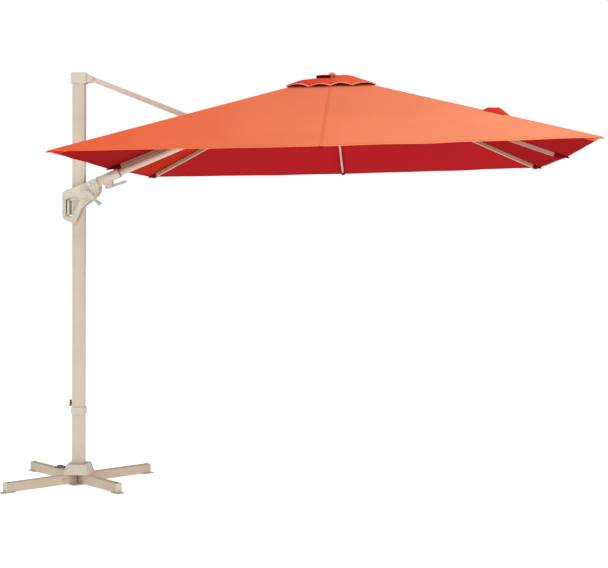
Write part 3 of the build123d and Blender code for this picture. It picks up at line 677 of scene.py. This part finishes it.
def seam_tape(index):
    """A felled seam along a rib line, on the upper side of the cloth."""
    name = NAMES[index]
    points, rows = [], 40
    half_width = 0.008 if index % 2 else 0.006
    start, end = 0.145, 0.996
    for k in range(rows):
        t = start + (end - start) * k / (rows - 1)
        for sector, s_side in (((index - 1) % 8, -1), (index, 1)):
            for reach in ((half_width, 0.0004) if s_side < 0 else (0.0004, half_width)):
                span = (tip((sector + 1) % 8) - tip(sector)).length * t
                s = 1 - reach / span if s_side < 0 else reach / span
                points.append(CANOPY @ (cloth_point(sector, s, t) + Vector((0, 0, 0.0011))))
    faces = facing_up(points, grid_faces(rows, 4))
    cloth = [((0.0105, 0.004, -0.004, -0.0105)[i % 4], (i // 4) * 0.04, 0.2) for i in range(len(points))]
    obj = closed_sheet(f"seam_tape_{name}", points, faces, [0.0006] * len(points), cloth,
                       [MATERIALS["canvas"], UNDERSIDE], sharp=50)
    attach(obj, f"rib_{name}")
    return obj


def cap_point(sector, s, q):
    """The vent cap between rib `sector` and the next; q runs from the flat top to the hem."""
    def corner(index, half, z):
        turn = math.radians(45 * index)
        radius = half * math.sqrt(2) if index % 2 else half
        return Vector((radius * math.cos(turn), radius * math.sin(turn), z))
    top = corner(sector, CAP_FLAT, CAP_TOP_Z - 0.006).lerp(corner(sector + 1, CAP_FLAT, CAP_TOP_Z - 0.006), s)
    low = corner(sector, CAP_HALF, CAP_HEM_Z).lerp(corner(sector + 1, CAP_HALF, CAP_HEM_Z), s)
    p = top.lerp(low, q)
    arch = abs(math.sin(math.tau * s))
    p.z += 0.015 * arch * q ** 2.2 + 0.008 * math.sin(math.pi * q)
    p.z += 0.007 * noise.noise(Vector((p.x * 11, p.y * 11, 0.6)))
    turn = math.atan2(p.y, p.x)
    p.z -= 0.027 * max(0, math.cos(turn - math.radians(215))) ** 1.2 * max(0, 1 - q / 0.55)
    tack = (1 - arch) * q ** 3
    inward = Vector((-p.x, -p.y, 0)).normalized()
    ripple = 0.006 * noise.noise(Vector((sector * 3.1 + s * 9, q * 3, 8.2)))
    return p + inward * (0.008 * tack + ripple * q)


def cap_petal(index):
    """The part of the vent cap that goes with one rib."""
    name = NAMES[index]
    columns = rib_columns(index, 10)
    steps = [k / 18 * 0.95 for k in range(18)] + [0.955, 0.975, 1.0]
    points, cloth = [], []
    for q in steps:
        for sector, s in columns:
            points.append(CANOPY @ cap_point(sector, s, q))
            beside = (0.1 + 0.19 * q) * from_rib(index, sector, s)
            cloth.append((beside, q * 0.22, (1 - q) * 0.22))
    faces = facing_up(points, grid_faces(len(steps), len(columns)))
    bound = (0, len(steps) - 3, len(steps) - 2)
    upper = [2 if k // (len(columns) - 1) in bound else 0 for k in range(len(faces))]
    half = [0.0017 if steps[k // len(columns)] > 0.952 else 0.0007 for k in range(len(points))]
    obj = closed_sheet(f"vent_cap_{name}", points, faces, half, cloth,
                       [MATERIALS["canvas_cap"], CAP_INSIDE, BINDING], upper, sharp=40)
    # the petal over the boom can't fold down, so it stays with the crown
    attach(obj, "boom" if index == MAST_RIB else f"rib_{name}")
    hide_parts("vent_cap")
    return obj


def cap_top():
    """The small raised top of the vent cap, which stands open on the mast side."""
    rings = [0.0, 0.25, 0.5, 0.72, 0.88, 0.96, 1.0]
    count = 48
    points, cloth = [], []
    for share in rings[1:]:
        for k in range(count):
            turn = math.tau * k / count
            square = 0.104 / max(abs(math.cos(turn)), abs(math.sin(turn)))
            radius = (square * 0.72 + 0.104 * 0.28) * share
            x, y = radius * math.cos(turn), radius * math.sin(turn)
            z = CAP_TOP_Z - 0.0005 - 0.017 * share ** 2.6
            lift = max(0, math.cos(turn - math.radians(225))) ** 1.5
            z += lift * 0.008 * share ** 3 + 0.003 * math.sin(3 * turn + 1) * share ** 3
            points.append(CANOPY @ Vector((x, y, z)))
            cloth.append((y + 0.05, x, (1 - share) * 0.12))
    points.append(CANOPY @ Vector((0, 0, CAP_TOP_Z)))
    cloth.append((0.05, 0, 0.12))
    centre = len(points) - 1
    faces = [f[::-1] for f in grid_faces(len(rings) - 1, count, closed=True)]
    faces += [[k, (k + 1) % count, centre] for k in range(count)]
    faces = facing_up(points, faces, probe=-1)
    bound = range((len(rings) - 3) * count, (len(rings) - 2) * count)
    upper = [2 if k in bound else 0 for k in range(len(faces))]
    half = [0.0016 if bound.start <= k < centre else 0.0007 for k in range(len(points))]
    obj = closed_sheet("vent_cap_top", points, faces, half, cloth,
                       [MATERIALS["canvas_cap"], CAP_INSIDE, BINDING], upper, sharp=50)
    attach(obj, "boom")
    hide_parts("vent_cap")
    return obj


def closing_strap():
    """A tie strap sewn along the near-right ridge, standing up in a loop."""
    a = tip(NAMES.index("near_right"))
    start, end, width = 0.612, 0.687, 0.05
    points, cloth, rows, columns = [], [], 22, 7
    outward = Vector((a.x, a.y, 0)).normalized()
    across = Vector((-outward.y, outward.x, 0))
    for k in range(rows):
        u = k / (rows - 1)
        t = start + (end - start) * u
        base = APEX + (a - APEX) * t + Vector((0, 0, 0.002))
        rise = 0.025 * math.sin(math.pi * u ** 0.75) ** 0.8
        for c in range(columns):
            v = c / (columns - 1)
            up = rise * math.sin(math.pi / 2 * min(1, v * 1.5)) + 0.004 * math.sin(9 * u + 3 * v) * v
            points.append(CANOPY @ (base + across * (v * width - 0.012) + Vector((0, 0, up))))
            cloth.append((v * width + 0.03, u * 0.16, 0.1))
    faces = facing_up(points, grid_faces(rows, columns))
    obj = closed_sheet("closing_strap", points, faces, [0.0011] * len(points), cloth,
                       [STRAP, CAP_INSIDE], sharp=50)
    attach(obj, "rib_near_right")
    return obj


for i, rib_name in enumerate(NAMES):
    cloth_gore = gore(i)
    petal = cap_petal(i)
    pocket = rib_pocket(i)
    tape = seam_tape(i) if i != MAST_RIB else slot_binding()
    for piece in (cloth_gore, tape):
        flatten(piece)
    if i != MAST_RIB:
        flatten(petal)
top = cap_top()
closing_strap()


# ---- fittings -------------------------------------------------------------------------


def fitting(obj, body):
    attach(obj, body)


def ring_profile(start, end, inner, outer, soft=0.0012):
    return [(start, inner), (start, outer - soft), (start + soft, outer), (end - soft, outer),
            (end, outer - soft), (end, inner)]


def sideways(x, y, z, side=-1):
    """A place whose local X axis points out of the carriage on that side."""
    return Matrix.Translation((x, y, z)) @ Matrix.Rotation(side * math.pi / 2, 4, "Z")


def carriage_details():
    casting, steel = MATERIALS["casting"], MATERIALS["steel"]
    # path, inner edge, outer edge and height of each raised line on a cheek
    bands = {"cheek_rim": (rounded_outline(CHEEK_OUTLINE, 0.006), 0.0075, 0.0022, 0.0026),
             "grip_rim": (rounded_outline(GRIP_OPENING, 0.006), -0.0012, -0.0065, 0.0024),
             "cheek_panel": (rounded_outline(PANEL_OUTLINE, 0.012), 0.0035, 0.0005, 0.0014)}
    for side, name in ((-1, "near"), (1, "far")):
        face = side * CHEEK_FACE
        for kind, (path, inner, outer, height) in bands.items():
            band = raised_band(f"{kind}_{name}", path, face, side, inner, outer, height, casting)
            fitting(band, "carriage")
        for k, (x, z, hole, radius) in enumerate(WASHERS):
            profile = ring_profile(-0.0005, 0.0014, hole, radius, 0.0005)
            place = sideways(x / 1000, face, z / 1000, side)
            washer = lathe(f"cheek_washer_{name}_{k + 1}", profile, place, steel, 36)
            fitting(washer, "carriage")
    # the boss that the crank turns in
    profile = ring_profile(-0.0005, 0.007, 0.009, 0.021, 0.002)
    boss = lathe("crank_boss", profile, sideways(CRANK[0], -CHEEK_FACE, CRANK[1]), casting)
    fitting(boss, "carriage")


def crank_details():
    dome = [(-0.0005, 0.0), (-0.0005, 0.0115), (0.0015, 0.0112), (0.0032, 0.0092), (0.0044, 0.0055),
            (0.0048, 0.0)]
    place = sideways(CRANK[0], -CRANK_FACE, CRANK[1])
    fitting(lathe("crank_dome", dome, place, MATERIALS["steel"], 36), "crank")
    arm = Matrix.Translation((CRANK[0], 0, CRANK[1])) @ Matrix.Rotation(CRANK_ANGLE, 4, "Y")
    arm = arm @ Matrix.Translation((0, -GRIP_AXIS, 0))
    for k in range(5):
        at = 0.101 + 0.0068 * k
        radius = 0.009 + (at - 0.094) / 0.042 * 0.005
        profile = ring_profile(at, at + 0.003, radius - 0.002, radius + 0.0009, 0.0008)
        ring = lathe(f"crank_grip_ring_{k + 1}", profile, arm, MATERIALS["grip"], 40)
        fitting(ring, "crank_handle")


def boom_details():
    # start and end along the boom, inner and outer radius, rounding and slot
    rings = {"collar_cuff_root": (0.050, 0.063, 0.0300, 0.0335, 0.002, "casting"),
             "collar_cuff_end": (0.186, 0.2065, 0.0245, 0.0322, 0.002, "casting"),
             "collar_seal": (0.2066, 0.2096, 0.0233, 0.0296, 0.001, "dark_plastic")}
    for name, (start, end, inner, outer, soft, slot_name) in rings.items():
        ring = lathe(name, ring_profile(start, end, inner, outer, soft), BOOM, MATERIALS[slot_name])
        fitting(ring, "yoke")


for make in (carriage_details, crank_details, boom_details):
    make()


# ---- floor, light and camera ----------------------------------------------------------


def studio():
    scene = bpy.context.scene
    scene.view_settings.view_transform = "Standard"
    world = bpy.data.worlds.new("studio")
    scene.world = world
    world.use_nodes = True
    background = world.node_tree.nodes["Background"]
    background.inputs["Color"].default_value = (1, 1, 1, 1)
    seen = world.node_tree.nodes.new("ShaderNodeLightPath")
    strength = world.node_tree.nodes.new("ShaderNodeMapRange")
    strength.inputs["To Min"].default_value = 0.55
    world.node_tree.links.new(seen.outputs["Is Camera Ray"], strength.inputs["Value"])
    world.node_tree.links.new(strength.outputs["Result"], background.inputs["Strength"])

    mesh = bpy.data.meshes.new("floor")
    mesh.from_pydata([(-60, -60, 0), (60, -60, 0), (60, 60, 0), (-60, 60, 0)], [], [(0, 1, 2, 3)])
    floor = bpy.data.objects.new("floor", mesh)
    scene.collection.objects.link(floor)
    s = Surface("floor_paint")
    tone = s.mix(s.noise(0.8, 3), linear(252, 252, 252), linear(248, 248, 248))
    mesh.materials.append(s.set(Base_Color=tone, Roughness=0.9, Emission_Color=(1, 1, 1, 1),
                                Emission_Strength=0.62))

    def area(name, size, power, place, target):
        light = bpy.data.lights.new(name, "AREA")
        light.size, light.energy = size, power
        lamp = bpy.data.objects.new(name, light)
        lamp.location = place
        lamp.rotation_euler = (Vector(target) - Vector(place)).to_track_quat("-Z", "Y").to_euler()
        scene.collection.objects.link(lamp)

    area("key", 3.0, 150, (5.5, -5.5, 4.6), (1.9, -0.4, 2.3))
    sky = bpy.data.lights.new("sky", "SUN")
    sky.energy, sky.angle = 0.62, math.radians(70)
    lamp = bpy.data.objects.new("sky", sky)
    lamp.rotation_euler = (math.radians(24), math.radians(10), 0)
    scene.collection.objects.link(lamp)
    area("fill", 3.0, 45, (-2.2, -6.0, 3.0), (0.2, 0, 1.6))

    lens = bpy.data.cameras.new("camera")
    lens.lens = 77.6
    lens.shift_y = -0.0925
    camera = bpy.data.objects.new("camera", lens)
    camera.location = (2.0939, -8.5523, 1.6133)
    camera.rotation_euler = (math.radians(90.478), 0, math.radians(4.022))
    scene.collection.objects.link(camera)
    scene.camera = camera


studio()
